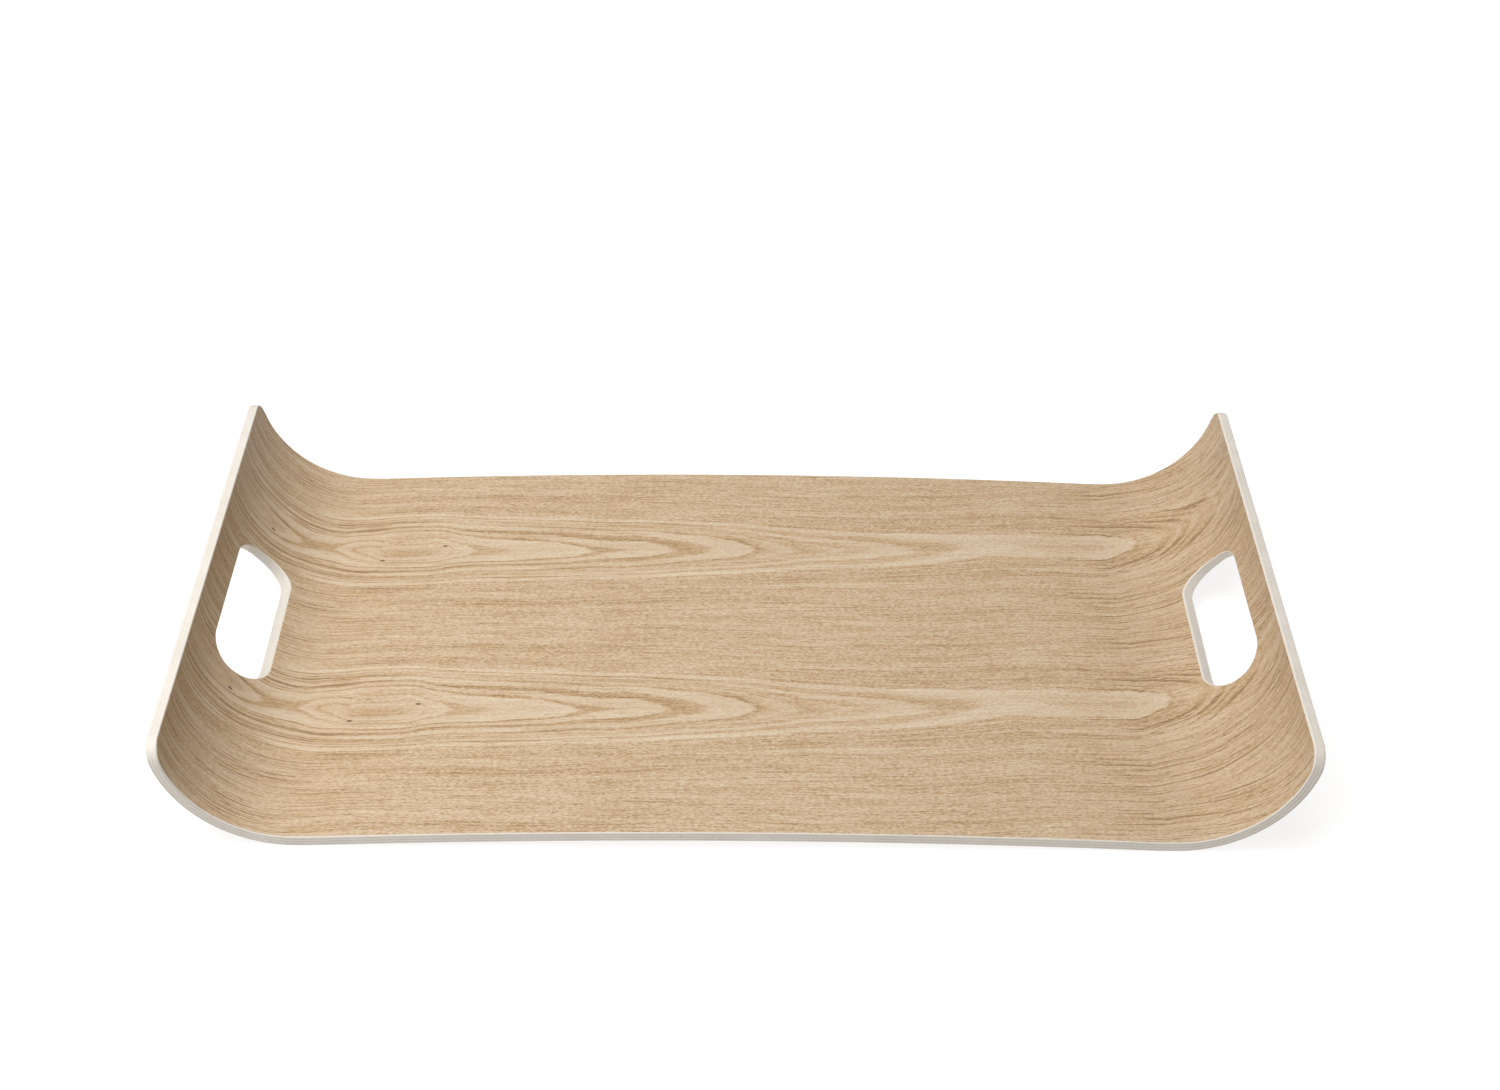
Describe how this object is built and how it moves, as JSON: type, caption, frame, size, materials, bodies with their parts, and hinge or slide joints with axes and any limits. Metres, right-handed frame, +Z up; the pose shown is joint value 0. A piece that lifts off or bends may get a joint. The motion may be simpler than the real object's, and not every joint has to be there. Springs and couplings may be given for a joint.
{
  "type": "moulded plywood serving tray",
  "caption": "Serving tray pressed from thin plywood, with a slightly crowned floor, both ends curled up into low walls and a hand-hole through each wall.",
  "frame": {"origin": "under the middle of the tray, at the level of the surface it stands on", "axes": "+X along the tray from hand-hole to hand-hole, +Y across it, +Z up out of the tray's open side"},
  "size_m": [0.51, 0.285, 0.055],
  "materials": {
    "face_veneer": "satin lacquered oak-type veneer with cathedral figure, grain along the tray",
    "cross_ply": "pale core veneer, grain across the tray, sanded at the edges",
    "long_ply": "core veneer, grain along the tray, sanded at the edges",
    "backing_veneer": "satin lacquered oak-type veneer, grain along the tray"
  },
  "bodies": {
    "root": {"face_leaf_back": "face_veneer", "face_leaf_middle": "face_veneer", "face_leaf_front": "face_veneer", "cross_ply_upper": "cross_ply", "long_ply_upper": "long_ply", "cross_ply_middle": "cross_ply", "long_ply_lower": "long_ply", "cross_ply_lower": "cross_ply", "backing_leaf_back": "backing_veneer", "backing_leaf_middle": "backing_veneer", "backing_leaf_front": "backing_veneer"}
  },
  "joints": []
}
